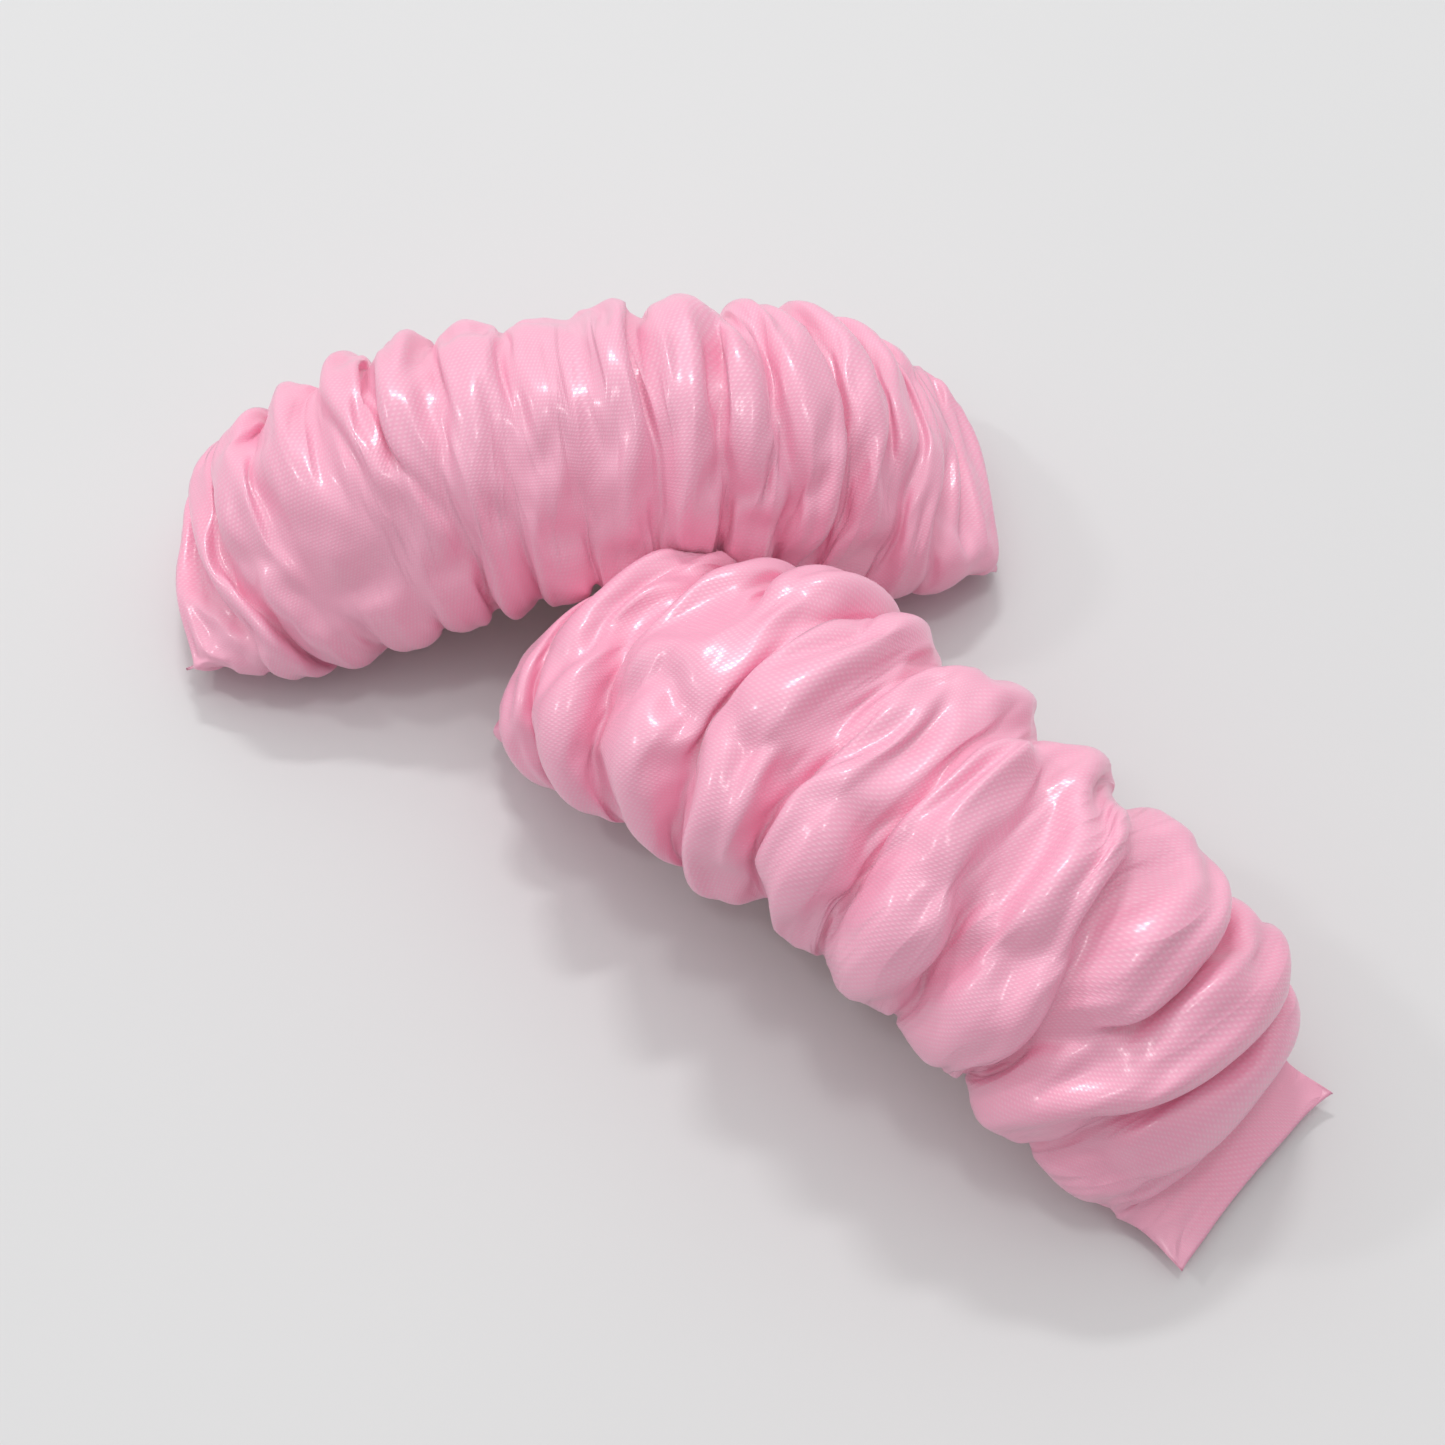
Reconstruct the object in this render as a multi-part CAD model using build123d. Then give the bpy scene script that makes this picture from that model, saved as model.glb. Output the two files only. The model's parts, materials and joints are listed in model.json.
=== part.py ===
from build123d import *
import math
import os

# A pair of spring hair barrettes, each with an arched steel clip under a ruched satin sleeve.
# Millimetres, +Z up. The first barrette's chord lies along X, and the second lies in front of it.
# The part's origin is the centre of its bounding box, at the level it rests on.

# The second barrette's place, measured from the middle of the first one
FRONT_CENTRE = (30.5, -65.4)
FRONT_HEADING = -51.5

# Arched base plate
PLATE_RADIUS = 85.0
PLATE_HALF_CHORD = 40.0
PLATE_MID_Z = 16.5
PLATE_THICK = 0.8
PLATE_WIDTH = 9.2
ARC_CENTRE_Z = PLATE_MID_Z - PLATE_RADIUS

# Hinge at the left end of the clip
HINGE_X = -38.0
HINGE_Z = 3.45
PIN_RADIUS = 0.7
KNUCKLE_BORE = 0.75
KNUCKLE_RADIUS = 1.4
LUG_THICK = 0.6

# Closing lever
LEVER_HALF_CHORD = 38.2
LEVER_TIP_X = 40.0
LEVER_END_Z = 3.0
LEVER_RISE = 1.5
LEVER_THICK = 0.9
LEVER_WIDTH = 7.8
LEVER_SLOT_WIDTH = 5.0
WINDOW_START = 35.5
WINDOW_LENGTH = 3.2
WINDOW_WIDTH = 5.8

# Tension strip, a thin bowed spring between plate and lever
STRIP_HALF_CHORD = 34.0
STRIP_END_Z = 6.1
STRIP_RISE = 5.4
STRIP_THICK = 0.35
STRIP_WIDTH = 4.6
STRIP_CURL_RADIUS = 1.3

# Catch at the right end of the clip
BRACKET_THICK = 0.5
BRACKET_START = 33.5
BRACKET_END = 39.6
BRACKET_WIDTH = 6.8
CHEEK_THICK = 0.6
CHEEK_START = 36.4
CHEEK_END = 39.4
CHEEK_BOTTOM_Z = 5.2
EAR_THICK = 0.6
EAR_MID_Y = 1.9
EAR_AXIS_Z = 5.75
EAR_START = 36.4
EAR_END = 42.2
PRONG_LENGTH = 1.4
HOOK_REACH = 0.55
WING_START = 40.6
RIVET_X = 37.0
RIVET_RADIUS = 0.8
RIVET_HEAD_RADIUS = 1.3
RIVET_HEAD_THICK = 0.4

# Ribbon and gathering elastic between the plate and the sleeve
RIBBON_THICK = 0.4
RIBBON_WIDTH = 10.0
RIBBON_HALF_CHORD = 36.5
ELASTIC_THICK = 0.6
ELASTIC_WIDTH = 4.0
ELASTIC_HALF_CHORD = 35.0

# Ruched satin sleeve
SLEEVE_LENGTH = 112.0
SLEEVE_WIDTH = 43.0
SLEEVE_HEIGHT = 41.0
SEAM_WIDTH = 29.0
SEAM_THICK = 2.4
FLAP_LENGTH = 5.0
UNDERSIDE_MID_Z = 12.0
FLAP_DIP = 0.6
CHANNEL_HALF_WIDTH = 8.5
CHANNEL_HALF_LENGTH = 44.5
SLEEVE_STATIONS = (0.0, 0.22, 0.45, 0.64, 0.79, 0.90, 0.975)
SECTION_POINTS = 20

# How square the sleeve's shoulders are, at its left and right ends
REAR_FULLNESS = (2.2, 3.0)
FRONT_FULLNESS = (2.2, 2.8)


def arc_height(radius, x):
    """Height of the clip's common arc family at a distance x from its middle."""
    return ARC_CENTRE_Z + math.sqrt(radius * radius - x * x)


def arc_band(radius, thickness, width, start, end):
    """A strip of constant thickness that lies on the clip's common arc, from start to end along X."""
    outer = radius + thickness
    middle = (start + end) / 2

    def point(r, x):
        angle = math.asin(x / radius)
        return (r * math.sin(angle), ARC_CENTRE_Z + r * math.cos(angle))

    lower = ThreePointArc(point(radius, start), point(radius, middle), point(radius, end))
    upper = ThreePointArc(point(outer, end), point(outer, middle), point(outer, start))
    ends = [Line(lower @ 1, upper @ 0), Line(upper @ 1, lower @ 0)]
    face = Plane.XZ * make_face([lower, upper, *ends])
    return extrude(face, amount=width / 2, both=True)


def bowed_strip(half_chord, end_z, rise, thickness, width):
    """A shallow bowed strip whose underside stands at end_z at both ends and end_z + rise between."""
    lower = ThreePointArc((-half_chord, end_z), (0, end_z + rise), (half_chord, end_z))
    top_end = end_z + thickness
    upper = ThreePointArc((half_chord, top_end), (0, top_end + rise), (-half_chord, top_end))
    ends = [Line(lower @ 1, upper @ 0), Line(upper @ 1, lower @ 0)]
    face = Plane.XZ * make_face([lower, upper, *ends])
    return extrude(face, amount=width / 2, both=True)


def block(x0, x1, y0, y1, z0, z1):
    """An axis-aligned block between two corners."""
    centre = ((x0 + x1) / 2, (y0 + y1) / 2, (z0 + z1) / 2)
    return Pos(*centre) * Box(x1 - x0, y1 - y0, z1 - z0)


def cross_pin(radius, x, z, y0, y1):
    """A round bar across the clip, from y0 to y1."""
    return Pos(x, (y0 + y1) / 2, z) * Rot(90, 0, 0) * Cylinder(radius, y1 - y0)


def rivet_place():
    """The rivet's place: on the plate's underside, with its axis square to the plate."""
    tilt = math.degrees(math.asin(RIVET_X / PLATE_RADIUS))
    return Pos(RIVET_X, 0, arc_height(PLATE_RADIUS, RIVET_X)) * Rot(0, tilt, 0)


def base_plate():
    """Arched top plate with two hinge lugs folded down at its left end and a rivet hole at its right."""
    plate = arc_band(PLATE_RADIUS, PLATE_THICK, PLATE_WIDTH, -PLATE_HALF_CHORD, PLATE_HALF_CHORD)
    for side in (-1, 1):
        inner = side * (PLATE_WIDTH / 2 - LUG_THICK)
        outer = side * PLATE_WIDTH / 2
        y0, y1 = sorted((inner, outer))
        lug_top = arc_height(PLATE_RADIUS, HINGE_X) + PLATE_THICK / 2
        lug = block(HINGE_X - KNUCKLE_RADIUS, HINGE_X + KNUCKLE_RADIUS, y0, y1, HINGE_Z, lug_top)
        plate += lug + cross_pin(KNUCKLE_RADIUS, HINGE_X, HINGE_Z, y0, y1)
    plate -= cross_pin(PIN_RADIUS, HINGE_X, HINGE_Z, -PLATE_WIDTH, PLATE_WIDTH)
    return plate - rivet_place() * Cylinder(RIVET_RADIUS, 4 * PLATE_THICK)


def hinge_pin():
    """Plain pin across the two lugs."""
    return cross_pin(PIN_RADIUS, HINGE_X, HINGE_Z, -PLATE_WIDTH / 2, PLATE_WIDTH / 2)


def closing_lever():
    """Gently bowed lever with two knuckles, a slot between them and a window near its tip."""
    lever = bowed_strip(LEVER_HALF_CHORD, LEVER_END_Z, LEVER_RISE, LEVER_THICK, LEVER_WIDTH)
    half = LEVER_WIDTH / 2
    lever += block(LEVER_HALF_CHORD - 0.1, LEVER_TIP_X, -half, half, LEVER_END_Z, LEVER_END_Z + LEVER_THICK)
    lever += cross_pin(KNUCKLE_RADIUS, HINGE_X, HINGE_Z, -half, half)
    slot_end = HINGE_X + 2 * KNUCKLE_RADIUS
    lever -= block(HINGE_X - 3, slot_end, -LEVER_SLOT_WIDTH / 2, LEVER_SLOT_WIDTH / 2, 0, 8)
    lever -= cross_pin(KNUCKLE_BORE, HINGE_X, HINGE_Z, -LEVER_WIDTH, LEVER_WIDTH)
    window_end = WINDOW_START + WINDOW_LENGTH
    lever -= block(WINDOW_START, window_end, -WINDOW_WIDTH / 2, WINDOW_WIDTH / 2, 0, 8)
    tip_corners = lever.edges().filter_by(Axis.Z).group_by(Axis.X)[-1]
    return fillet(tip_corners, 1.0)


def tension_strip():
    """Thin bowed spring with a curl round the hinge pin and a free right end."""
    strip = bowed_strip(STRIP_HALF_CHORD, STRIP_END_Z, STRIP_RISE, STRIP_THICK, STRIP_WIDTH)
    half = STRIP_WIDTH / 2
    arm_top = STRIP_END_Z + STRIP_THICK
    arm = Polyline(
        (HINGE_X + 0.2, HINGE_Z + 0.9),
        (-STRIP_HALF_CHORD + 0.3, STRIP_END_Z + 0.05),
        (-STRIP_HALF_CHORD + 0.1, arm_top),
        (HINGE_X - 0.2, HINGE_Z + 1.25),
        close=True,
    )
    strip += extrude(Plane.XZ * make_face(arm), amount=half, both=True)
    strip += cross_pin(STRIP_CURL_RADIUS, HINGE_X, HINGE_Z, -half, half)
    return strip - cross_pin(KNUCKLE_BORE, HINGE_X, HINGE_Z, -STRIP_WIDTH, STRIP_WIDTH)


def catch_bracket():
    """Thin saddle under the plate's right end with two cheeks that guard the ears."""
    radius = PLATE_RADIUS - BRACKET_THICK
    bracket = arc_band(radius, BRACKET_THICK, BRACKET_WIDTH, BRACKET_START, BRACKET_END)
    for side in (-1, 1):
        inner = side * (BRACKET_WIDTH / 2 - CHEEK_THICK)
        outer = side * BRACKET_WIDTH / 2
        y0, y1 = sorted((inner, outer))
        cheek = block(CHEEK_START, CHEEK_END, y0, y1, CHEEK_BOTTOM_Z, PLATE_MID_Z)
        bracket += cheek & arc_band(radius - 6, 6.2, PLATE_WIDTH, BRACKET_START, BRACKET_END)
    return bracket - rivet_place() * Cylinder(RIVET_RADIUS, 4 * PLATE_THICK)


def catch_ear(side):
    """One squeeze ear: a hooked prong through the lever's window and a flared finger tab outside it."""
    inner = EAR_MID_Y - EAR_THICK / 2
    outer = EAR_MID_Y + EAR_THICK / 2
    prong_end = EAR_START + PRONG_LENGTH
    ear = block(EAR_START, EAR_END, inner, outer, 4.7, EAR_AXIS_Z)
    crown = Pos((EAR_START + EAR_END) / 2, EAR_MID_Y, EAR_AXIS_Z) * Rot(0, 90, 0)
    ear += crown * Cylinder(EAR_THICK / 2, EAR_END - EAR_START)
    ear += block(EAR_START, prong_end, inner, outer, 2.2, 4.8)
    ear += block(EAR_START, prong_end, outer - 0.1, outer + HOOK_REACH, 2.2, 2.7)
    tab_tip = [(outer, 4.4), (4.6, 2.2), (4.6, 1.7), (4.1, 1.7)]
    tab = Polyline((inner, 5.0), (outer, 5.0), *tab_tip, (inner, 4.0), close=True)
    ear += Pos(WING_START, 0, 0) * extrude(Plane.YZ * make_face(tab), amount=EAR_END - WING_START)
    return ear if side > 0 else mirror(ear, about=Plane.XZ)


def catch_rivet():
    """Flush rivet that holds the catch bracket under the plate."""
    shank_top = PLATE_THICK
    shank_bottom = -BRACKET_THICK - RIVET_HEAD_THICK
    shank = Pos(0, 0, (shank_top + shank_bottom) / 2) * Cylinder(RIVET_RADIUS, shank_top - shank_bottom)
    head_z = -BRACKET_THICK - 0.02 - RIVET_HEAD_THICK / 2
    head = Pos(0, 0, head_z) * Cylinder(RIVET_HEAD_RADIUS, RIVET_HEAD_THICK)
    return rivet_place() * (shank + head)


def backing_ribbon():
    """Narrow ribbon that lies on the plate."""
    radius = PLATE_RADIUS + PLATE_THICK
    return arc_band(radius, RIBBON_THICK, RIBBON_WIDTH, -RIBBON_HALF_CHORD, RIBBON_HALF_CHORD)


def gathering_elastic():
    """Flat elastic along the inside of the sleeve's back, which draws the satin up into folds."""
    radius = PLATE_RADIUS + PLATE_THICK + RIBBON_THICK
    return arc_band(radius, ELASTIC_THICK, ELASTIC_WIDTH, -ELASTIC_HALF_CHORD, ELASTIC_HALF_CHORD)


def sleeve_top(x, fullness):
    """Height of the sleeve's crown: a rounded arch over the puffed length, then a flat flap."""
    puffed = SLEEVE_LENGTH / 2 - FLAP_LENGTH
    u = min(abs(x) / puffed, 1.0)
    return SEAM_THICK + (SLEEVE_HEIGHT - SEAM_THICK) * (1 - u ** fullness) ** 0.67


def sleeve_section(x, fullness):
    """Cross-section of the sleeve at x: a rounded closed curve between its underside and its crown."""
    u = abs(x) / (SLEEVE_LENGTH / 2)
    half_width = SEAM_WIDTH / 2 + (SLEEVE_WIDTH - SEAM_WIDTH) / 2 * (1 - u ** 5)
    bottom = max(UNDERSIDE_MID_Z * (1 - (u / 0.78) ** 2), -FLAP_DIP)
    top = sleeve_top(x, fullness)
    middle = (bottom + top) / 2
    half_height = (top - bottom) / 2
    points = []
    for i in range(SECTION_POINTS):
        angle = 2 * math.pi * i / SECTION_POINTS
        y = half_width * math.copysign(abs(math.cos(angle)) ** 0.8, math.cos(angle))
        z = middle + half_height * math.copysign(abs(math.sin(angle)) ** 0.8, math.sin(angle))
        points.append((x, y, z))
    return make_face(Spline(*points, periodic=True))


def satin_sleeve(left_fullness, right_fullness):
    """Puffed sleeve with flat closed ends, and a channel along its underside for the steel clip."""
    puffed = SLEEVE_LENGTH / 2 - FLAP_LENGTH
    inner = [puffed * s for s in SLEEVE_STATIONS]
    right = inner + [puffed + 0.6, SLEEVE_LENGTH / 2]
    sections = [sleeve_section(-x, left_fullness) for x in reversed(right[1:])]
    sections += [sleeve_section(x, right_fullness) for x in right]
    body = loft(sections)
    body -= block(-SLEEVE_LENGTH, SLEEVE_LENGTH, -SLEEVE_WIDTH, SLEEVE_WIDTH, -20, 0)
    channel_radius = PLATE_RADIUS + PLATE_THICK + RIBBON_THICK + ELASTIC_THICK
    half = CHANNEL_HALF_LENGTH
    ends_z = arc_height(channel_radius, half)
    roof = ThreePointArc((-half, ends_z), (0, arc_height(channel_radius, 0)), (half, ends_z))
    walls = Polyline((half, ends_z), (half, -5), (-half, -5), (-half, ends_z))
    channel = extrude(Plane.XZ * make_face([roof, walls]), amount=CHANNEL_HALF_WIDTH, both=True)
    return body - channel


def barrette(fullness):
    """All pieces of one barrette by name, in its own place at the origin."""
    return {
        "base_plate": base_plate(),
        "hinge_pin": hinge_pin(),
        "closing_lever": closing_lever(),
        "tension_strip": tension_strip(),
        "catch_bracket": catch_bracket(),
        "catch_ear_left": catch_ear(1),
        "catch_ear_right": catch_ear(-1),
        "catch_rivet": catch_rivet(),
        "backing_ribbon": backing_ribbon(),
        "gathering_elastic": gathering_elastic(),
        "satin_sleeve": satin_sleeve(*fullness),
    }


def main():
    os.makedirs("parts", exist_ok=True)
    front_place = Pos(*FRONT_CENTRE, 0) * Rot(0, 0, FRONT_HEADING)
    rear = barrette(REAR_FULLNESS)
    front = barrette(FRONT_FULLNESS)
    pieces = {f"rear_{name}": shape for name, shape in rear.items()}
    pieces |= {f"front_{name}": front_place * shape for name, shape in front.items()}
    boxes = [shape.bounding_box() for shape in pieces.values()]
    middle_x = (min(box.min.X for box in boxes) + max(box.max.X for box in boxes)) / 2
    middle_y = (min(box.min.Y for box in boxes) + max(box.max.Y for box in boxes)) / 2
    shift = Pos(-middle_x, -middle_y, 0)
    print(f"pair shifted by {-middle_x:.4f}, {-middle_y:.4f}")
    for name, shape in pieces.items():
        export_step(shift * shape, f"parts/{name}.step")


main()
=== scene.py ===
import json
import math

import bpy
import numpy as np
from bpy.props import FloatProperty, FloatVectorProperty, IntProperty, PointerProperty
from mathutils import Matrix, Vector
from mathutils.bvhtree import BVHTree


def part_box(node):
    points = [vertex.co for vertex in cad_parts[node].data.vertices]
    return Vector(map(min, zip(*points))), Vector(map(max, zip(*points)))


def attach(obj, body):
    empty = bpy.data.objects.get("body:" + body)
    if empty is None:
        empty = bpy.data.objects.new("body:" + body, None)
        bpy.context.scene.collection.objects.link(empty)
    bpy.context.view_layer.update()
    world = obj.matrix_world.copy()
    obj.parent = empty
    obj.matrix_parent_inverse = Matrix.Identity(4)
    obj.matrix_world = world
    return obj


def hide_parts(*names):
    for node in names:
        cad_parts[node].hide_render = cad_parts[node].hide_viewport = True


bl_info = {
    "name": "Ruched satin barrettes",
    "version": (1, 0, 0),
    "blender": (4, 5, 0),
    "location": "3D View > Sidebar > Barrettes",
    "description": "Builds the ruched satin sleeves and the finishes of two hair barrettes",
    "category": "Object",
}

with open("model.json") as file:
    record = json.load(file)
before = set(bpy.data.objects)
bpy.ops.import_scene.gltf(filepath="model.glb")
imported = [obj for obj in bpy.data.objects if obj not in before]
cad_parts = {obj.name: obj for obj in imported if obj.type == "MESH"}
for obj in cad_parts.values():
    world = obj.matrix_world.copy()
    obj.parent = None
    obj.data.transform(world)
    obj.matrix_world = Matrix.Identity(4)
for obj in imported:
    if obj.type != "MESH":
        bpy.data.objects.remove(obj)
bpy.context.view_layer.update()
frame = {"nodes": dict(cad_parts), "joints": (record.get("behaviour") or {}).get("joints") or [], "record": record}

MM = 0.001
# The rear sleeve is made first, and the front one gives way to it
CLIPS = ("rear", "front")


def clip_place(clip):
    """A barrette's middle and heading, from its hinge axis and the box of its steel plate."""
    joint = next(j for j in frame["joints"] if j["name"] == f"{clip}_lever_swing")
    across = np.array(joint["axis"], float)
    along = np.array([across[1], -across[0], 0.0])
    low, high = (np.array(c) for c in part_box(f"{clip}_base_plate"))
    middle = (low + high) / 2
    return np.array([middle[0], middle[1], 0.0]), along, across


# ---------------------------------------------------------------- shape helpers


def smooth(edge0, edge1, x):
    """Smoothstep: 0 below edge0, 1 above edge1, and a cubic ease between."""
    t = np.clip((x - edge0) / (edge1 - edge0), 0.0, 1.0)
    return t * t * (3.0 - 2.0 * t)


def spline_through(stations, values, x):
    """A cubic Hermite curve through the values at the stations, with finite-difference slopes."""
    stations, values = np.asarray(stations, float), np.asarray(values, float)
    slopes = np.gradient(values, stations, axis=0)
    i = np.clip(np.searchsorted(stations, x) - 1, 0, len(stations) - 2)
    step = stations[i + 1] - stations[i]
    t = (x - stations[i]) / step
    column = (slice(None),) + (None,) * (values.ndim - 1)
    t, step = t[column], step[column]
    a, b, p, q = values[i], values[i + 1], slopes[i] * step, slopes[i + 1] * step
    return (
        a * (2 * t**3 - 3 * t**2 + 1)
        + p * (t**3 - 2 * t**2 + t)
        + b * (3 * t**2 - 2 * t**3)
        + q * (t**3 - t**2)
    )


def ring_noise(rng, u, v, cells_u, cells_v):
    """Smooth random field in -1..1 over u in 0..1 and v in 0..1, periodic in v.

    Random values stand on a cells_u by cells_v lattice and are blended between with a quintic ease.
    """
    lattice = rng.uniform(-1.0, 1.0, (cells_u + 2, cells_v))
    x, y = np.clip(u, 0, 1) * cells_u, (v % 1.0) * cells_v
    i, j = np.floor(x).astype(int), np.floor(y).astype(int)
    fx, fy = x - i, y - j
    fx = fx**3 * (fx * (6 * fx - 15) + 10)
    fy = fy**3 * (fy * (6 * fy - 15) + 10)
    j0, j1 = j % cells_v, (j + 1) % cells_v
    low = lattice[i, j0] * (1 - fy) + lattice[i, j1] * fy
    high = lattice[i + 1, j0] * (1 - fy) + lattice[i + 1, j1] * fy
    return low * (1 - fx) + high * fx


# ---------------------------------------------------------------- the satin sleeve

# Half of a sleeve's centreline from its middle to its closed end, in millimetres: distance along
# the chord, height, half thickness square to the line, half width. A blunt end turns down over its
# own seam, and a flat one runs out along the table as a flap.
PROFILE = {
    "flat": (
        (0.0, 27.0, 15.0, 21.3), (15.0, 25.6, 14.8, 21.4), (30.0, 20.6, 13.8, 21.2),
        (40.0, 12.8, 11.6, 19.8), (44.4, 7.4, 7.6, 18.2), (46.6, 3.8, 3.4, 16.2),
        (50.0, 2.0, 1.4, 14.8), (56.0, 1.0, 0.12, 15.4),
    ),
    "blunt": (
        (0.0, 27.0, 15.0, 21.3), (15.0, 25.8, 14.9, 21.4), (30.0, 21.2, 14.2, 21.4),
        (42.0, 14.2, 12.6, 20.6), (49.5, 8.8, 9.0, 19.2), (53.0, 4.8, 4.8, 17.6),
        (54.3, 2.3, 1.4, 15.6), (55.4, 0.9, 0.12, 14.6),
    ),
}

# seed: of the random draws; ends: profiles at either end; seams: share of the length held flat at
# either end; folds: how many; lean: of the crests along the sleeve; slant: of the folds round it;
# depth: of the folds, in millimetres; wander: of the folds' places; slack and gather: the sewn
# tube's girth and length over the gathered ones; bend: the cloth's stiffness; splits: how far
# along, how far round and which way one fold becomes two
SLEEVES = {
    "rear": {
        "seed": 11, "ends": ("blunt", "blunt"), "seams": (0.04, 0.04), "folds": 16,
        "lean": -0.2, "slant": 0.35, "depth": 3.2, "wander": 1.4,
        "slack": 1.01, "gather": 1.85, "bend": 0.6,
        "splits": ((0.34, 0.30, 1), (0.62, 0.22, -1), (0.80, 0.33, 1)),
    },
    "front": {
        "seed": 23, "ends": ("blunt", "flat"), "seams": (0.04, 0.075), "folds": 11,
        "lean": 0.4, "slant": 0.8, "depth": 4.4, "wander": 1.6,
        "slack": 1.015, "gather": 2.1, "bend": 0.8,
        "splits": ((0.30, 0.20, 1), (0.56, 0.17, -1), (0.74, 0.33, 1)),
    },
}


def centreline(count, ends):
    """Points, tangents, half thickness and half width at count even steps along the arched line."""
    stations = np.linspace(-1, 1, 4001)
    halves = []
    for end, part in zip(ends, (stations[:2000], stations[2000:])):
        table = np.array(PROFILE[end])
        halves.append(spline_through(np.linspace(0, 1, len(table)), table, np.abs(part)))
    rows = np.concatenate(halves)
    rows[:, 0] *= np.sign(stations)
    length = np.concatenate([[0], np.cumsum(np.hypot(np.diff(rows[:, 0]), np.diff(rows[:, 1])))])
    even = np.linspace(0, length[-1], count)
    rows = np.stack([np.interp(even, length, rows[:, k]) for k in range(4)], 1)
    tangent = np.gradient(rows[:, :2], axis=0)
    tangent /= np.linalg.norm(tangent, axis=1)[:, None]
    return rows, tangent, length[-1]


# Below 1 the ring is squarer than an ellipse
RING_POWER = 0.86


def oval_ring(angle, thick, wide):
    """A flattened ring, a little squarer than an ellipse: its sideways and outward parts."""
    cos, sin = np.cos(angle), np.sin(angle)
    y = wide * np.sign(cos) * np.abs(cos) ** RING_POWER
    n = thick * np.sign(sin) * np.abs(sin) ** RING_POWER
    return y, n


def fullness(spec, u):
    """0 on the flat seam at either end, easing to 1 along the gathered part."""
    first, last = spec["seams"]
    return smooth(first + 0.015, first + 0.11, u) * smooth(last + 0.015, last + 0.11, 1 - u)


def fold_wave(phase):
    """Broad rounded crests and narrow valleys: the square root of a raised cosine, from 0 to 1."""
    return np.sqrt(0.5 - 0.5 * np.cos(phase) + 0.002)


# Mean of fold_wave, so that folds push in as much as they push out
WAVE_MEAN = 0.62
# How much shallower the folds are on the sleeve's underside
UNDER_FLATTENING = 0.55
# Small folds beside the main ones: how many to a main fold, and their share of the depth
SECOND_FOLDS, SECOND_DEPTH = 2.37, 0.30
# Height of the finest unevenness, in millimetres
RIPPLE = 0.08


def fold_shape(spec, rng, u, v):
    """How far each point is pushed outwards, and how far along the sleeve, in millimetres."""
    angle = 2 * np.pi * v
    puff = fullness(spec, u)
    under = smooth(0.15, 0.75, -np.sin(angle))
    wander = ring_noise(rng, u, v, 9, 4) * 0.62 + ring_noise(rng, u, v, 18, 7) * 0.3
    phase = 2 * np.pi * spec["folds"] * u + spec["slant"] * 2.0 * np.cos(angle)
    phase = phase + spec["wander"] * wander
    for place, turn, sign in spec["splits"]:
        phase = phase + sign * np.arctan2((v - turn) * 0.9, (u - place) * 1.0)
    strength = 0.72 + 0.42 * ring_noise(rng, u, v, 12, 5)
    wave = fold_wave(phase)
    second = fold_wave(phase * SECOND_FOLDS + 2.2 * ring_noise(rng, u, v, 14, 6) + 1.0)
    ripple = ring_noise(rng, u, v, 70, 9)

    depth = spec["depth"] * strength * puff * (1 - UNDER_FLATTENING * under)
    push = depth * (wave - WAVE_MEAN) * 1.6
    push = push + SECOND_DEPTH * depth * (second - 0.6) * (0.4 + 0.6 * wave)
    push = push + puff * RIPPLE * ripple
    shift = spec["lean"] * depth * (wave - 0.5) * 1.3
    shift = shift + 0.33 * depth * np.sin(phase) * -1.0
    return push, shift


def sleeve_points(spec, along, around):
    """The ruched tube as an along by around grid of points in the clip's own place, in millimetres.

    A flattened ring is carried along the arched centreline. Each ring is pushed outwards by a wave
    whose phase runs along the sleeve, with slant, random wander and places where one fold splits
    into two. Crests also lean along the sleeve, so that neighbouring folds overlap. The flat seams
    curl up a little from the table, and their corners run out further than their middle.
    """
    rng = np.random.default_rng(spec["seed"])
    rows, tangent, length = centreline(along, spec["ends"])
    u = np.linspace(0, 1, along)[:, None] * np.ones((1, around))
    v = np.ones((along, 1)) * (np.arange(around)[None, :] / around)
    angle = 2 * np.pi * v
    x, z, thick, wide = (rows[:, k][:, None] for k in range(4))
    push, shift = fold_shape(spec, rng, u, v)
    # The same curl on the two layers of a seam, and another one at each end
    layer = np.abs(angle / np.pi - 1.0) * 0.5 + 0.5 * np.round(u)
    curl = ring_noise(rng, np.zeros_like(u), layer, 1, 9)

    ring_y, ring_n = oval_ring(angle, thick, wide)
    out_y, out_n = np.cos(angle) * thick, np.sin(angle) * wide
    size = np.sqrt(out_y**2 + out_n**2) + 1e-9
    out_y, out_n = out_y / size, out_n / size

    y = ring_y + push * out_y
    n = ring_n + push * out_n
    tx, tz = tangent[:, 0][:, None], tangent[:, 1][:, None]
    first, last = spec["seams"]
    flap = 1 - np.minimum(smooth(0.0, first + 0.06, u), smooth(0.0, last + 0.06, 1 - u))
    reach = np.sign(x) * flap * (1.3 * curl + 1.2 * (y / wide) ** 2 - 0.6)
    px = x - tz * n + tx * shift + reach
    pz = z + tx * n + tz * shift + flap * (1.2 + 1.4 * curl)
    return np.stack([px, y, pz], -1)


# Top of the elastic on the steel plate: an arc, in millimetres, and the air left above it
ROOF_RADIUS, ROOF_CENTRE, ROOF_GAP = 87.1, -68.5, 0.15
# Half sizes of the clip's channel: fully clear inside the first, untouched past the second
CHANNEL_HALF_WIDTH = (6.2, 9.5)
CHANNEL_HALF_LENGTH = (41.5, 45.5)
# Lowest point of the cloth, and how softly it is rounded off above the table
TABLE_GAP, TABLE_SOFTNESS = 0.18, 0.3


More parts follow.
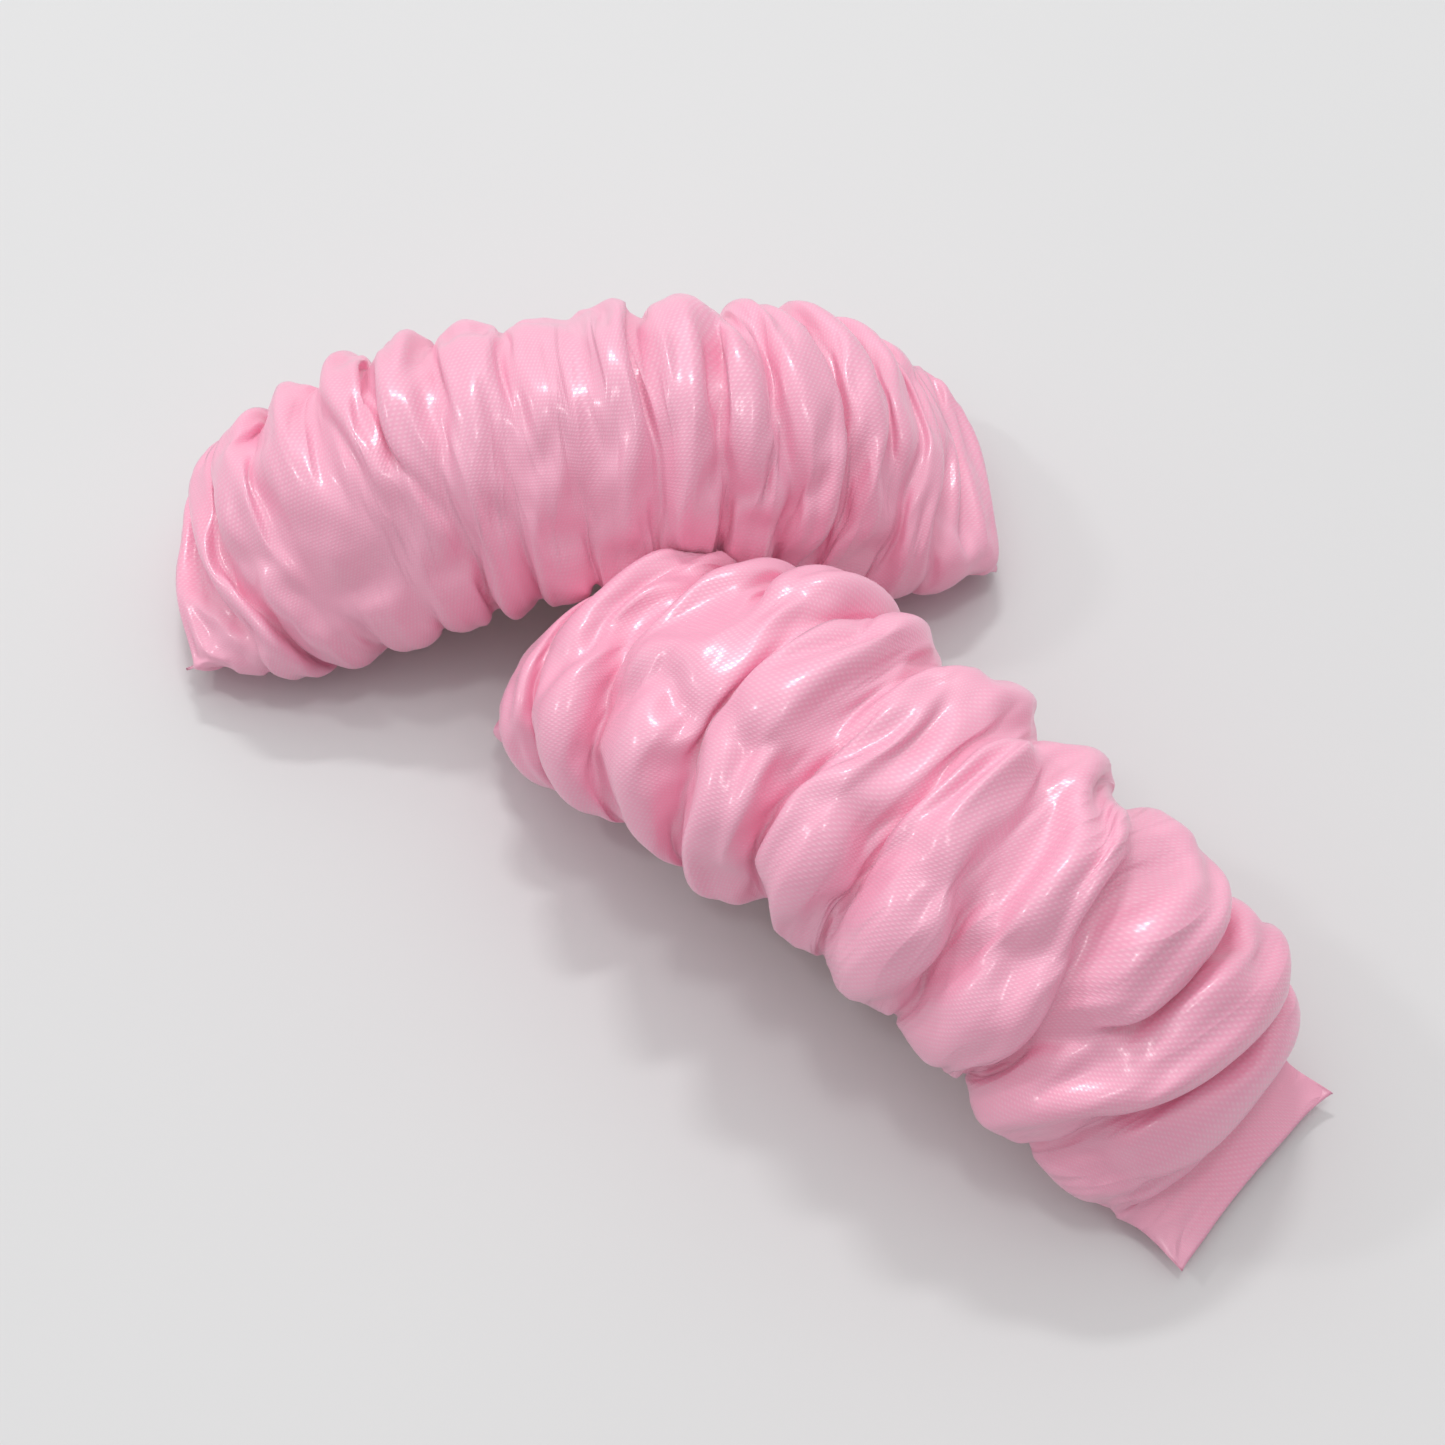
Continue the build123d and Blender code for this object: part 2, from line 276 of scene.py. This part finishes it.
def settle(points):
    """Rests the sleeve: above the table, and the middle of its back above plate and elastic."""
    x, y, z = points[..., 0], points[..., 1], points[..., 2]
    roof = ROOF_CENTRE + np.sqrt(np.maximum(ROOF_RADIUS**2 - x**2, 1.0)) + ROOF_GAP
    inside = 1 - smooth(*CHANNEL_HALF_WIDTH, np.abs(y))
    inside = inside * (1 - smooth(*CHANNEL_HALF_LENGTH, np.abs(x)))
    lifted = np.maximum(z, roof)
    z = z + inside * (lifted - z)
    above = z - TABLE_GAP
    z = TABLE_GAP + 0.5 * (above + np.sqrt(above**2 + TABLE_SOFTNESS))
    return np.stack([x, y, z], -1)


def to_row(points, clip):
    """Clip millimetres to the row's metres."""
    middle, along, across = clip_place(clip)
    up = np.array([0, 0, 1.0])
    flat = points.reshape(-1, 3) * MM
    return middle + flat[:, :1] * along + flat[:, 1:2] * across + flat[:, 2:] * up


def grid_faces(rows, columns):
    """Quads of a grid that is closed around its columns."""
    i = np.arange(rows - 1)[:, None]
    j = np.arange(columns)[None, :]
    k = (j + 1) % columns
    low, high = i * columns, (i + 1) * columns
    return np.stack([low + j, low + k, high + k, high + j], -1).reshape(-1, 4)


def new_object(name, points, faces):
    """A smooth-shaded mesh object in the scene."""
    mesh = bpy.data.meshes.new(name)
    mesh.from_pydata(points.tolist(), [], faces.tolist())
    mesh.update()
    mesh.polygons.foreach_set("use_smooth", np.ones(len(mesh.polygons), bool))
    made = bpy.data.objects.new(name, mesh)
    bpy.context.scene.collection.objects.link(made)
    return made


def set_uv(mesh, corner_uv):
    """Writes the coordinates of every face corner as the mesh's cloth map."""
    layer = mesh.uv_layers.new(name="cloth")
    layer.data.foreach_set("uv", np.ascontiguousarray(corner_uv, dtype=np.float32).ravel())


def cut_tube(spec, along, around):
    """The sleeve as it was sewn, before gathering: a straight tube, in millimetres.

    Its rings stand further apart than the gathered ones by the spec's gather, easing to the same
    spacing at both seams, and each is longer than the gathered ring by the spec's slack.
    """
    rows, tangent, length = centreline(along, spec["ends"])
    u = np.linspace(0, 1, along)
    angle = 2 * np.pi * np.arange(around) / around
    y, n = oval_ring(angle[None, :], rows[:, 2:3], rows[:, 3:4])
    girth = np.hypot(y - np.roll(y, 1, 1), n - np.roll(n, 1, 1)).sum(1)
    full = fullness(spec, u)
    girth = girth * (1 + (spec["slack"] - 1) * full)
    step = length / (along - 1) * (1 + (spec["gather"] - 1) * full)
    place = np.concatenate([[0], np.cumsum(0.5 * (step[1:] + step[:-1]))])
    radius = girth / (2 * np.pi)
    across, up = radius[:, None] * np.cos(angle), radius[:, None] * np.sin(angle)
    tube = np.stack([place[:, None] * np.ones((1, around)), across, up], -1)
    return tube, place, girth


# The inner form lies this far inside the sleeve, in millimetres, and a little more at its sides
FORM_INSET, FORM_SIDE_INSET = 5.8, 0.8
FORM_ROWS, FORM_COLUMNS = 60, 32


def inner_form(spec):
    """A closed oval bar inside the sleeve, for the cloth to fall on: its points and its faces."""
    line, tangent, length = centreline(200, spec["ends"])
    keep = np.linspace(26, 173, FORM_ROWS).astype(int)
    angle = 2 * np.pi * np.arange(FORM_COLUMNS) / FORM_COLUMNS
    thick = np.maximum(line[keep, 2:3] - FORM_INSET, 1.5)
    wide = np.maximum(line[keep, 3:4] - FORM_INSET - FORM_SIDE_INSET, 3.0)
    y, n = wide * np.cos(angle), thick * np.sin(angle)
    tx, tz = tangent[keep, 0:1], tangent[keep, 1:2]
    points = np.stack([line[keep, 0:1] - tz * n, y, line[keep, 1:2] + tx * n], -1)
    last = (FORM_ROWS - 1) * FORM_COLUMNS
    caps = [list(range(FORM_COLUMNS))[::-1], list(range(last, last + FORM_COLUMNS))]
    return points.reshape(-1, 3), grid_faces(FORM_ROWS, FORM_COLUMNS).tolist() + caps


# The cloth solver works at ten times the real size, where its own smallest gaps are small enough
SOLVER_SCALE = 10.0 * MM
# Half side of the solver's floor, in millimetres. Cloth that gets as far has flown apart
SOLVER_FLOOR = 200.0
# The back seam is held this many degrees to either side of straight down
SEAM_TURN, SEAM_HALF_TURN = 270.0, 15.0
# Skin of the form and of the floor, and the cloth's own smallest gaps, at the solver's scale
FORM_SKIN, FLOOR_SKIN, CLOTH_GAP = 0.004, 0.001, 0.003


def solver_object(name, points, faces):
    mesh = bpy.data.meshes.new(name)
    mesh.from_pydata((np.asarray(points).reshape(-1, 3) * SOLVER_SCALE).tolist(), [], faces)
    mesh.update()
    made = bpy.data.objects.new(name, mesh)
    bpy.context.scene.collection.objects.link(made)
    return made


def held_points(spec, along, around):
    """Numbers of the grid points that stay put: the back seam and both end seams."""
    index = np.arange(along * around).reshape(along, around)
    turn = np.degrees(2 * np.pi * np.arange(around) / around)
    held = np.zeros((along, around), bool)
    held[:, np.abs(turn - SEAM_TURN) < SEAM_HALF_TURN] = True
    first, last = (max(3, round(along * share)) for share in spec["seams"])
    held[:first], held[-last:] = True, True
    return index[held].tolist()


def add_solver(cloth, rest, bend, frames, quality):
    """Adds the Cloth modifier with satin's light, limp settings."""
    solver = cloth.modifiers.new("cloth", "CLOTH")
    fabric, touch = solver.settings, solver.collision_settings
    fabric.rest_shape_key = rest
    fabric.quality, fabric.mass = quality, 0.15
    fabric.tension_stiffness = fabric.compression_stiffness = 15.0
    fabric.shear_stiffness, fabric.bending_stiffness = 3.0, bend
    fabric.tension_damping = fabric.compression_damping = fabric.shear_damping = 5.0
    fabric.bending_damping, fabric.air_damping = 0.5, 2.0
    fabric.vertex_group_mass, fabric.pin_stiffness = "held", 1.0
    fabric.effector_weights.gravity = 0.2
    touch.use_collision, touch.distance_min = True, CLOTH_GAP
    touch.use_self_collision, touch.self_distance_min = True, CLOTH_GAP
    touch.collision_quality, touch.self_friction = 3, 5.0
    solver.point_cache.frame_start, solver.point_cache.frame_end = 1, frames


def gather_cloth(spec, start, tube, frames, quality):
    """Lets the pleated tube settle as cloth and returns its points.

    It starts in the pleats of sleeve_points but is as long and as wide as the sewn tube, so that
    the cloth too much for the space swells and buckles into folds. The back seam, which the elastic
    draws in, and both end seams are held. The cloth falls on the inner form, the table and itself.
    """
    along, around = start.shape[:2]
    cloth = solver_object("gathering", start, grid_faces(along, around).tolist())
    cloth.shape_key_add(name="Basis")
    rest = cloth.shape_key_add(name="sewn")
    sewn = (tube.reshape(-1, 3) * SOLVER_SCALE).astype(np.float32)
    rest.data.foreach_set("co", sewn.ravel())
    rest.value = 0.0
    group = cloth.vertex_groups.new(name="held")
    group.add(held_points(spec, along, around), 1.0, "REPLACE")
    form = solver_object("inner_form", *inner_form(spec))
    side = SOLVER_FLOOR
    corners = [(-side, -side, 0), (side, -side, 0), (side, side, 0), (-side, side, 0)]
    floor = solver_object("solver_floor", corners, [(0, 1, 2, 3)])
    for body, skin in ((form, FORM_SKIN), (floor, FLOOR_SKIN)):
        body.modifiers.new("collision", "COLLISION")
        body.collision.thickness_outer = skin
        body.collision.cloth_friction = 8.0
    add_solver(cloth, rest, spec["bend"], frames, quality)
    scene = bpy.context.scene
    for number in range(1, frames + 1):
        scene.frame_set(number)
    found = cloth.evaluated_get(bpy.context.evaluated_depsgraph_get()).to_mesh()
    points = np.empty(len(found.vertices) * 3)
    found.vertices.foreach_get("co", points)
    scene.frame_set(1)
    for used in (cloth, form, floor):
        bpy.data.meshes.remove(used.data)
    points = points.reshape(along, around, 3) / SOLVER_SCALE
    if not np.isfinite(points).all() or np.abs(points).max() > side:
        raise RuntimeError("the gathered cloth flew apart")
    return points


def refine(grid, along, around):
    """Resamples a grid, closed around its columns, with cubic curves both ways."""
    rows, columns = grid.shape[:2]
    grid = spline_through(np.arange(rows), grid, np.linspace(0, rows - 1, along))
    wrap = np.concatenate([grid[:, -2:], grid, grid[:, :3]], 1)
    turned = np.moveaxis(wrap, 1, 0)
    places = np.arange(around) * columns / around
    turned = spline_through(np.arange(-2, columns + 3), turned, places)
    return np.moveaxis(turned, 0, 1)


def comb(grid, around, along):
    """Evens out the grid, a number of times each way, with quarter-half-quarter averages."""
    for _ in range(around):
        grid = 0.5 * grid + 0.25 * (np.roll(grid, 1, 1) + np.roll(grid, -1, 1))
    for _ in range(along):
        grid[1:-1] = 0.5 * grid[1:-1] + 0.25 * (grid[:-2] + grid[2:])
    return grid


def give_way(grid, other, gap=0.0005, rounds=5):
    """Dents a sleeve where it would pass into another: those points go to the nearest surface.

    The dent is evened out over the grid and made again, so that the cloth round it follows softly.
    """
    corners = np.empty(len(other.data.vertices) * 3)
    other.data.vertices.foreach_get("co", corners)
    corners = corners.reshape(-1, 3)
    low, high = corners.min(0) - gap, corners.max(0) + gap
    tree = BVHTree.FromPolygons(corners.tolist(), [tuple(p.vertices) for p in other.data.polygons])
    moved = np.zeros_like(grid)
    for turn in range(rounds):
        if turn:
            moved = comb(moved, 2, 2)
        near = np.argwhere(((grid + moved >= low) & (grid + moved <= high)).all(-1))
        for i, j in near:
            point = Vector(grid[i, j] + moved[i, j])
            spot, normal = tree.find_nearest(point)[:2]
            if (point - spot).dot(normal) < gap:
                moved[i, j] = np.array(spot + normal * gap) - grid[i, j]
    return grid + moved


def cloth_corners(length, width, faces, columns):
    """The cloth's flat coordinates at every face corner, unbroken across the closing column."""
    turn = np.arange(columns) / columns * width
    cloth = np.stack(np.broadcast_arrays(length[:, None], turn[None, :]), -1).reshape(-1, 2)
    corner = cloth[faces.ravel()].reshape(-1, 4, 2)
    wraps = (corner[:, :, 1].max(1) - corner[:, :, 1].min(1)) > width / 2
    corner[..., 1] += np.where(wraps[:, None] & (corner[:, :, 1] < width / 2), width, 0.0)
    return corner


# Passes of comb over the solved cloth, which draw its folds out round the rings
COMB_AROUND, COMB_ALONG = 3, 0


def make_sleeve(clip, settings, other=None):
    """One sleeve: pleated, let settle as cloth, made finer, and given the cloth's flat coordinates.

    Returns it with the width and length of its cut. The solver shortens the sewn tube, so the
    length given is the finished cloth's, over its folds and averaged round the sleeve.
    """
    spec = SLEEVES[clip]
    along, around = settings.solver_rings, settings.solver_columns
    start = settle(sleeve_points(spec, along, around))
    tube, place, girth = cut_tube(spec, along, around)
    start = gather_cloth(spec, start, tube, settings.frames, settings.quality)
    start = comb(start, COMB_AROUND, COMB_ALONG)
    points = settle(refine(start, settings.rings, settings.columns))
    faces = grid_faces(settings.rings, settings.columns)
    row = to_row(points, clip)
    if other:
        row = give_way(row.reshape(points.shape), other).reshape(-1, 3)
    made = new_object(f"{clip}_satin_cover", row, faces)
    own = float(np.linalg.norm(np.diff(points, axis=0), axis=-1).sum(0).mean()) * MM
    even, solved = np.linspace(0, 1, settings.rings), np.linspace(0, 1, along)
    length = (np.interp(even, solved, place / place[-1]) - 0.5) * own
    width = float(girth.max()) * MM
    set_uv(made.data, cloth_corners(length, width, faces, settings.columns))
    return made, width, own


# ---------------------------------------------------------------- materials


class Socket:
    """A value in a node tree. Its operators add Math nodes and return the result as a Socket."""

    def __init__(self, tree, link):
        self.tree, self.link = tree, link

    def _math(self, operation, *values):
        return self.tree.add("ShaderNodeMath", {"operation": operation}, dict(enumerate(values)))

    def __add__(self, other):
        return self._math("ADD", self, other)

    __radd__ = __add__

    def __mul__(self, other):
        return self._math("MULTIPLY", self, other)

    __rmul__ = __mul__

    def __sub__(self, other):
        return self._math("SUBTRACT", self, other)

    def __rsub__(self, other):
        return self._math("SUBTRACT", other, self)

    def sin(self):
        return self._math("SINE", self)

    def size(self):
        return self._math("ABSOLUTE", self)

    def at_least(self, other):
        return self._math("MAXIMUM", self, other)

    def at_most(self, other):
        return self._math("MINIMUM", self, other)


class Finish:
    """A material under construction, with one Principled shader."""

    def __init__(self, name, **constants):
        self.material = bpy.data.materials.new(name)
        self.material.use_nodes = True
        self.nodes = self.material.node_tree.nodes
        self.links = self.material.node_tree.links
        self.shader = self.nodes["Principled BSDF"]
        for socket, value in constants.items():
            self.shader.inputs[socket.replace("_", " ")].default_value = value

    def add(self, kind, settings=None, values=None, out=0):
        node = self.nodes.new(kind)
        for key, value in (settings or {}).items():
            setattr(node, key, value)
        for key, value in (values or {}).items():
            self.feed(node.inputs[key], value)
        return Socket(self, node.outputs[out])

    def feed(self, socket, value):
        if isinstance(value, Socket):
            self.links.new(value.link, socket)
        else:
            socket.default_value = value

    def mix(self, factor, a, b):
        return self.add(
            "ShaderNodeMix", {"data_type": "RGBA"}, {"Factor": factor, 6: a, 7: b}, out=2
        )

    def noise(self, vector, scale, detail=2.0, roughness=0.5, distortion=0.0):
        values = {"Vector": vector, "Scale": scale, "Detail": detail}
        values.update({"Roughness": roughness, "Distortion": distortion})
        return self.add("ShaderNodeTexNoise", {}, values)

    def bump(self, height, strength, distance, normal=None):
        values = {"Height": height, "Strength": strength, "Distance": distance}
        if normal:
            values["Normal"] = normal
        return self.add("ShaderNodeBump", {}, values)

    def place(self):
        """Object coordinates."""
        return self.add("ShaderNodeTexCoord", {}, {}, out=3)

    def first_two(self, vector):
        """The first two parts of a vector, each as a Socket."""
        outputs = self.add("ShaderNodeSeparateXYZ", {}, {0: vector}).link.node.outputs
        return Socket(self, outputs[0]), Socket(self, outputs[1])

    def set(self, **values):
        for socket, value in values.items():
            self.feed(self.shader.inputs[socket.replace("_", " ")], value)
        return self.material


def srgb(r, g, b):
    """A colour given in display values 0..255 as linear RGBA."""
    c = np.array([r, g, b]) / 255.0
    linear = np.where(c <= 0.04045, c / 12.92, ((c + 0.055) / 1.055) ** 2.4)
    return (*linear.tolist(), 1.0)


def waves(value, pitch):
    """A sine of the value with the given pitch, moved to 0..1."""
    return (value * (2 * math.pi / pitch)).sin() * 0.5 + 0.5


# Spacing of the satin's floats, in metres
WEAVE_PITCH = 0.0005


def satin_material():
    """Pink satin: fine diagonal floats over the cloth's own coordinates, painted paler as a painted sheen, and a
    soft uneven sheen.

    A broad pale gloss lies under a narrow bright one. Small pleats, too fine for the mesh, run
    round the sleeve: ridges of a noise stretched that way, strong in some patches and absent in
    others.
    """
    f = Finish(
        "pink_satin", Sheen_Weight=0.45, Sheen_Roughness=0.35, Specular_IOR_Level=0.9,
        Coat_Roughness=0.20, Coat_IOR=1.75,
    )
    f.shader.inputs["Sheen Tint"].default_value = srgb(246, 226, 238)
    f.shader.inputs["Specular Tint"].default_value = srgb(255, 238, 246)
    cloth = f.add("ShaderNodeUVMap", {"uv_map": "cloth"})
    u, v = f.first_two(cloth)
    warp = u * (2 * math.pi / WEAVE_PITCH)
    weft = v * (2 * math.pi / WEAVE_PITCH)
    floats = (warp + weft * 0.5).sin() * 0.5 + 0.5
    rows = (weft - warp * 0.12).sin() * 0.5 + 0.5
    weave = floats * rows
    spot = f.place()
    broad = f.noise(spot, 55.0, 3.0)
    patch = f.noise(spot, 38.0, 1.0)
    slub = f.noise(cloth, 900.0, 1.0)
    stretched = f.add("ShaderNodeMapping", {}, {"Vector": cloth, "Scale": (300.0, 34.0, 1.0)})
    pleats = f.noise(stretched, 1.0, 1.5, 0.45, 0.7)
    ridges = 1.0 - ((pleats - 0.5) * 5.0).size()
    ridges = ridges.at_least(0.0) * ((patch - 0.40) * 4.0).at_least(0.0).at_most(1.0)
    base = f.mix(broad, srgb(245, 158, 188), srgb(250, 177, 204))
    # Painted sheen: the raised floats of the weave are painted paler, towards near-white pink
    base = f.mix(weave * 0.32, base, srgb(255, 220, 232))
    rough = 0.37 + broad * 0.10 + slub * 0.06
    normal = f.bump(ridges, 0.55, 0.0006)
    normal = f.bump(weave * 0.8 + slub * 0.3, 0.4, 0.00009, normal)
    coat = 0.22 + weave * 0.5
    return f.set(Base_Color=base, Roughness=rough, Normal=normal, Coat_Weight=coat)


def plain_metal(name, light, dark, roughness):
    """Plated or polished steel: fine brushing along one way, cloudy tarnish, duller where the tarnish is darker.
    """
    f = Finish(name, Metallic=1.0)
    spot = f.place()
    cloud = f.noise(spot, 240.0, 3.0)
    brushed = f.add("ShaderNodeMapping", {}, {"Vector": spot, "Scale": (900.0, 900.0, 9000.0)})
    lines = f.noise(brushed, 1.0, 2.0)
    colour = f.mix(cloud, light, dark)
    normal = f.bump(lines, 0.15, 0.00003)
    rough = roughness + cloud * 0.12 + lines * 0.08
    return f.set(Base_Color=colour, Roughness=rough, Normal=normal)


def ribbon_material(name, light, dark, pitch):
    """Woven tape: ribs across the tape with painted shade in their grooves and lighter crests, and slight random
    tone variation.
    """
    f = Finish(name, Sheen_Weight=0.2)
    spot = f.place()
    x, y = f.first_two(spot)
    ribs, warps = waves(x, pitch), waves(y, pitch)
    shade = f.noise(spot, 300.0, 2.0)
    # Painted shade: the grooves between the ribs take the dark colour and the crests the light one; the noise adds
    # random tone
    colour = f.mix(ribs * 0.5 + shade * 0.4, dark, light)
    normal = f.bump(ribs * 0.6 + warps * 0.4, 0.5, 0.0001)
    return f.set(Base_Color=colour, Roughness=0.6 + shade * 0.2, Normal=normal)


def floor_material():
    """A pale, slightly cloudy table top."""
    f = Finish("pale_table", Specular_IOR_Level=0.3)
    cloud = f.noise(f.place(), 6.0, 3.0)
    colour = f.mix(cloud, srgb(219, 219, 220), srgb(225, 225, 225))
    return f.set(Base_Color=colour, Roughness=0.55 + cloud * 0.1)


def dress(obj, material):
    """Makes the material the object's only one."""
    obj.data.materials.clear()
    obj.data.materials.append(material)


# ---------------------------------------------------------------- settings


class SleeveSettings(bpy.types.PropertyGroup):
    """Sizes of the ruched sleeves."""

    cloth_thick: FloatProperty(
        name="Satin thickness", description="Thickness of the satin", default=0.0002, unit="LENGTH"
    )
    rings: IntProperty(
        name="Rings", description="Grid rows along a finished sleeve", default=340, min=50
    )
    columns: IntProperty(
        name="Columns", description="Grid columns round a finished sleeve", default=136, min=24
    )
    solver_rings: IntProperty(
        name="Solver rings", description="Grid rows while the cloth settles", default=210, min=50
    )
    solver_columns: IntProperty(
        name="Solver columns", description="Grid columns while the cloth settles", default=84,
        min=24,
    )
    frames: IntProperty(
        name="Frames", description="Steps for the cloth to settle in", default=36, min=2
    )
    quality: IntProperty(name="Quality", description="Solver steps in each frame", default=6, min=1)


class StageSettings(bpy.types.PropertyGroup):
    """The table, the lights and the camera."""

    azimuth: FloatProperty(
        name="Camera azimuth", description="Turn of the camera about the pair",
        default=math.radians(-9.2), subtype="ANGLE",
    )
    elevation: FloatProperty(
        name="Camera elevation", description="Angle of the camera above the table",
        default=math.radians(54.9), subtype="ANGLE",
    )
    distance: FloatProperty(
        name="Camera distance", description="From the camera to its aim on the table",
        default=0.3203, unit="LENGTH",
    )
    opening: FloatProperty(
        name="Field of view", description="Camera's angle of view", default=math.radians(34.0),
        subtype="ANGLE",
    )
    aim: FloatVectorProperty(
        name="Aim", description="Point on the table that the camera looks at",
        default=(0.0036, 0.0157, 0.0), subtype="XYZ",
    )
    world: FloatProperty(name="Ambient", description="Strength of the even light", default=0.63)


# ---------------------------------------------------------------- table, lights and camera

# Half side of the table top, in metres
TABLE_HALF = 3.0
# The room's light over its directions: its strength at the dim and the bright ends of a ramp
# along a line that points up and back
BRIGHT_WAY = (-0.15, 0.62, 0.77)
RAMP = {"From Min": -0.2, "From Max": 0.95, "To Min": 0.55, "To Max": 1.5}
# Each lamp's name, place, size (metres) and power (watts). All face the pair
LAMPS = (
    ("lamp_behind", (0.05, 0.70, 1.00), (0.22, 0.07), 2.8),
    ("lamp_left", (-0.75, 0.35, 0.75), (0.09, 0.09), 1.1),
    ("lamp_above", (0.1, -0.05, 1.2), (0.16, 0.16), 1.2),
)


def soft_room(strength):
    """Even white light, brightest overhead and behind the pair, and dimmest low down before it."""
    world = bpy.data.worlds.new("soft_room")
    world.use_nodes = True
    nodes, links = world.node_tree.nodes, world.node_tree.links
    ray = nodes.new("ShaderNodeTexCoord")
    facing = nodes.new("ShaderNodeVectorMath")
    facing.operation = "DOT_PRODUCT"
    facing.inputs[1].default_value = BRIGHT_WAY
    links.new(ray.outputs["Generated"], facing.inputs[0])
    ramp = nodes.new("ShaderNodeMapRange")
    for socket, value in RAMP.items():
        ramp.inputs[socket].default_value = value
    links.new(facing.outputs["Value"], ramp.inputs["Value"])
    scaled = nodes.new("ShaderNodeMath")
    scaled.operation = "MULTIPLY"
    scaled.inputs[1].default_value = strength
    links.new(ramp.outputs["Result"], scaled.inputs[0])
    nodes["Background"].inputs[0].default_value = (1.0, 1.0, 1.0, 1.0)
    links.new(scaled.outputs[0], nodes["Background"].inputs[1])
    return world


def turned_from(place):
    """The rotation of a lamp or camera that stands at a vector and faces back along it."""
    return (-Vector(place)).to_track_quat("-Z", "Y").to_euler()


def add_lamp(scene, name, place, size, power):
    """A rectangular lamp that faces the pair."""
    data = bpy.data.lights.new(name, "AREA")
    data.shape, data.size, data.size_y, data.energy = "RECTANGLE", size[0], size[1], power
    lamp = bpy.data.objects.new(name, data)
    lamp.location = place
    lamp.rotation_euler = turned_from(place)
    scene.collection.objects.link(lamp)


def add_camera(scene, settings):
    """The camera, set by its turn, height and distance about the point that it looks at."""
    data = bpy.data.cameras.new("camera")
    data.angle = settings.opening
    data.clip_start, data.clip_end = 0.01, 20.0
    camera = bpy.data.objects.new("camera", data)
    a, e = settings.azimuth, settings.elevation
    back = Vector((math.sin(a) * math.cos(e), -math.cos(a) * math.cos(e), math.sin(e)))
    camera.location = Vector(settings.aim) + back * settings.distance
    camera.rotation_euler = turned_from(back)
    scene.collection.objects.link(camera)
    scene.camera = camera


# ---------------------------------------------------------------- operators


class BARRETTE_OT_sleeves(bpy.types.Operator):
    """Make the two ruched satin sleeves"""

    bl_idname = "barrette.sleeves"
    bl_label = "Satin sleeves"

    def execute(self, context):
        settings = context.scene.barrette_sleeve
        material = satin_material()
        sleeve = None
        for clip in CLIPS:
            sleeve, width, length = make_sleeve(clip, settings, sleeve)
            dress(sleeve, material)
            thick = sleeve.modifiers.new("thickness", "SOLIDIFY")
            thick.thickness = settings.cloth_thick
            thick.offset = -1.0
            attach(sleeve, f"{clip}_clip")
            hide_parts(f"{clip}_satin_sleeve")
        return {"FINISHED"}


class BARRETTE_OT_hardware(bpy.types.Operator):
    """Give the steel clips, ribbons and elastics their finishes"""

    bl_idname = "barrette.hardware"
    bl_label = "Clip finishes"

    def execute(self, context):
        pinks = srgb(238, 160, 188), srgb(205, 112, 148)
        whites = srgb(240, 236, 232), srgb(205, 198, 196)
        finishes = {
            "gold_plate": plain_metal(
                "pale_gold_plate", srgb(222, 196, 150), srgb(190, 158, 112), 0.24
            ),
            "spring_steel": plain_metal(
                "spring_steel", srgb(190, 190, 190), srgb(140, 140, 142), 0.28
            ),
            "ribbon": ribbon_material("pink_ribbon", *pinks, 0.0005),
            "elastic": ribbon_material("white_elastic", *whites, 0.0007),
        }
        for part in frame["record"]["subparts"]:
            if part["material_slot"] in finishes:
                dress(frame["nodes"][part["node"]], finishes[part["material_slot"]])
        return {"FINISHED"}


class BARRETTE_OT_stage(bpy.types.Operator):
    """Lay the table and set the lights and the camera"""

    bl_idname = "barrette.stage"
    bl_label = "Table, lights and camera"

    def execute(self, context):
        scene = context.scene
        settings = scene.barrette_stage
        half = TABLE_HALF
        corners = np.array([[-half, -half, 0], [half, -half, 0], [half, half, 0], [-half, half, 0]])
        table = new_object("table_top", corners, np.array([[0, 1, 2, 3]]))
        dress(table, floor_material())
        scene.world = soft_room(settings.world)
        for lamp in LAMPS:
            add_lamp(scene, *lamp)
        add_camera(scene, settings)
        scene.view_settings.view_transform = "Standard"
        return {"FINISHED"}


class BARRETTE_PT_panel(bpy.types.Panel):
    """Lists the barrettes' pieces"""

    bl_label = "Barrettes"
    bl_space_type = "VIEW_3D"
    bl_region_type = "UI"
    bl_category = "Barrettes"

    def draw(self, context):
        for piece in OPERATORS:
            self.layout.operator(piece.bl_idname)


OPERATORS = (BARRETTE_OT_stage, BARRETTE_OT_hardware, BARRETTE_OT_sleeves)
CLASSES = (SleeveSettings, StageSettings, *OPERATORS, BARRETTE_PT_panel)


def register():
    for cls in CLASSES:
        bpy.utils.register_class(cls)
    bpy.types.Scene.barrette_sleeve = PointerProperty(type=SleeveSettings)
    bpy.types.Scene.barrette_stage = PointerProperty(type=StageSettings)


def unregister():
    del bpy.types.Scene.barrette_stage
    del bpy.types.Scene.barrette_sleeve
    for cls in reversed(CLASSES):
        bpy.utils.unregister_class(cls)


def main():
    register()
    bpy.ops.barrette.stage()
    bpy.ops.barrette.hardware()
    bpy.ops.barrette.sleeves()


if __name__ == "__main__":
    main()
